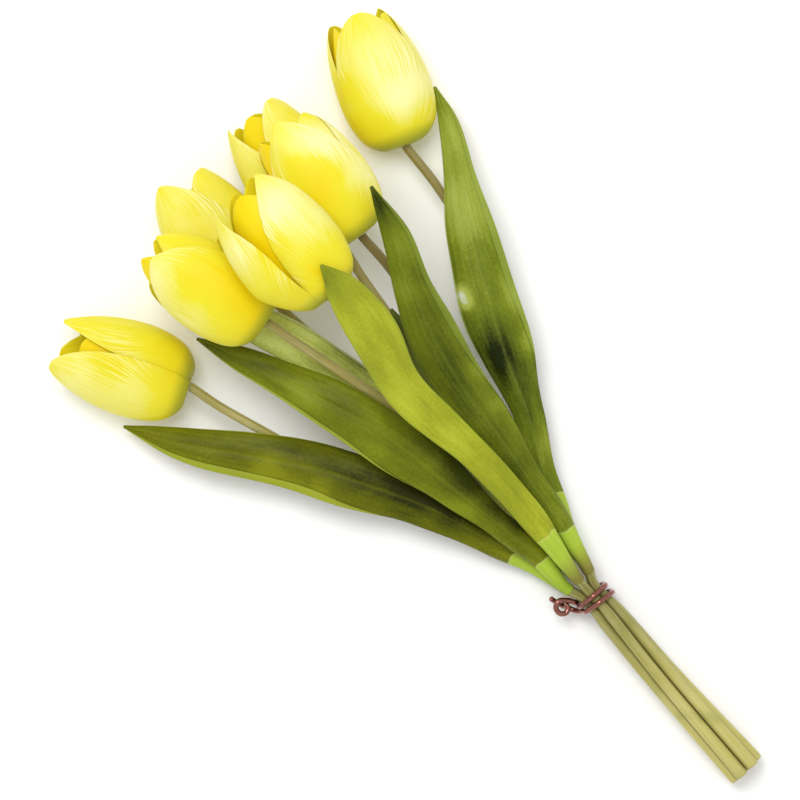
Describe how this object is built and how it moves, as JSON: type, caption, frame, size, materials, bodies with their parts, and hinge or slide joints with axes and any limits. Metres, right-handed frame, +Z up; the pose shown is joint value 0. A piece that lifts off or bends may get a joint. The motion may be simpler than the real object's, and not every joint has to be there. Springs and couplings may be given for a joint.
{
  "type": "bunch of tulips",
  "caption": "Tied bunch of closed yellow tulips with leaves, lying on its side, stems bound by a twisted brown wire.",
  "frame": {"origin": "on the surface the bunch lies on, below the middle of its bounding box", "axes": "+Y along the bunch from the cut stem ends to the flowers, +Z up, +X to the right seen from above with the flowers away"},
  "size_m": [0.2078, 0.3499, 0.0969],
  "materials": {
    "petals": "satin yellow petal with fine pale streaks",
    "flower_organs": "matt pale green",
    "stems": "satin olive green, paler toward the cut ends",
    "leaves": "satin green with long fine veins",
    "wire": "glossy brown coating"
  },
  "bodies": {
    "root": {"bloom_1": "petals", "bloom_2": "petals", "bloom_3": "petals", "bloom_4": "petals", "bloom_5": "petals", "bloom_6": "petals", "bloom_7": "petals", "pistil_1": "flower_organs", "pistil_2": "flower_organs", "pistil_3": "flower_organs", "pistil_4": "flower_organs", "pistil_5": "flower_organs", "pistil_6": "flower_organs", "pistil_7": "flower_organs", "stem_1": "stems", "stem_2": "stems", "stem_3": "stems", "stem_4": "stems", "stem_5": "stems", "stem_6": "stems", "stem_7": "stems", "leaf_1": "leaves", "leaf_2": "leaves", "leaf_3": "leaves", "leaf_4": "leaves", "leaf_5": "leaves", "leaf_6": "leaves", "leaf_7": "leaves", "tie_wire": "wire"}
  },
  "joints": []
}
